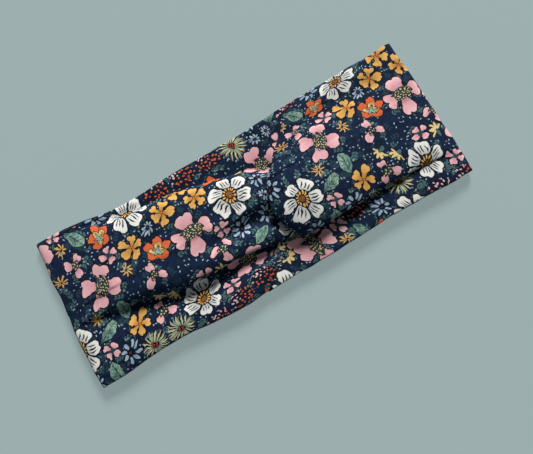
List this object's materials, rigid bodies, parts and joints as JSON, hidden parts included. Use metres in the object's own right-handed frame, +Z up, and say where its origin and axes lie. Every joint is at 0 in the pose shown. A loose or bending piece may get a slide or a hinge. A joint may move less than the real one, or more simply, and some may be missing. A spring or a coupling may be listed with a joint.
{
  "type": "knotted headband",
  "caption": "Wide soft headband of two printed jersey tubes hooked through each other in a front knot and joined at the back.",
  "frame": {"origin": "under the middle of the flat loop, on the surface it lies on", "axes": "+X along the flat loop towards the end nearer the knot, +Y across the band, +Z up through the knot"},
  "size_m": [0.24, 0.089, 0.017],
  "materials": {
    "printed_jersey": "soft matte knit with a floral print on a navy ground",
    "seam_thread": "matte spun thread"
  },
  "bodies": {
    "rear_left": {"left_outer_leg_rear": "printed_jersey", "left_inner_leg_rear": "printed_jersey", "left_tube_seam_rear": "seam_thread", "back_seam": "seam_thread"},
    "front_left": {"left_outer_leg_front": "printed_jersey", "left_inner_leg_front": "printed_jersey", "left_tube_seam_front": "seam_thread", "left_knot_bight": "printed_jersey", "right_knot_bight": "printed_jersey"},
    "front_right": {"right_outer_leg_front": "printed_jersey", "right_inner_leg_front": "printed_jersey", "right_tube_seam_front": "seam_thread"},
    "rear_right": {"right_outer_leg_rear": "printed_jersey", "right_inner_leg_rear": "printed_jersey", "right_tube_seam_rear": "seam_thread"}
  },
  "joints": [
    {"name": "left_end_fold", "type": "hinge", "parent": "rear_left", "child": "front_left", "pos_m": [-0.12, 0, 0.00295], "axis": [0, -1, 0], "range_deg": [0, 75]},
    {"name": "knot_bend", "type": "hinge", "parent": "front_left", "child": "front_right", "pos_m": [0.017, 0, 0.00385], "axis": [0, 1, 0], "range_deg": [0, 75]},
    {"name": "right_end_fold", "type": "hinge", "parent": "front_right", "child": "rear_right", "pos_m": [0.12, 0, 0.00295], "axis": [0, -1, 0], "range_deg": [0, 75]}
  ],
  "couplings": [
    {"joint": "knot_bend", "follows": "left_end_fold", "ratio": 1},
    {"joint": "right_end_fold", "follows": "left_end_fold", "ratio": 1}
  ]
}
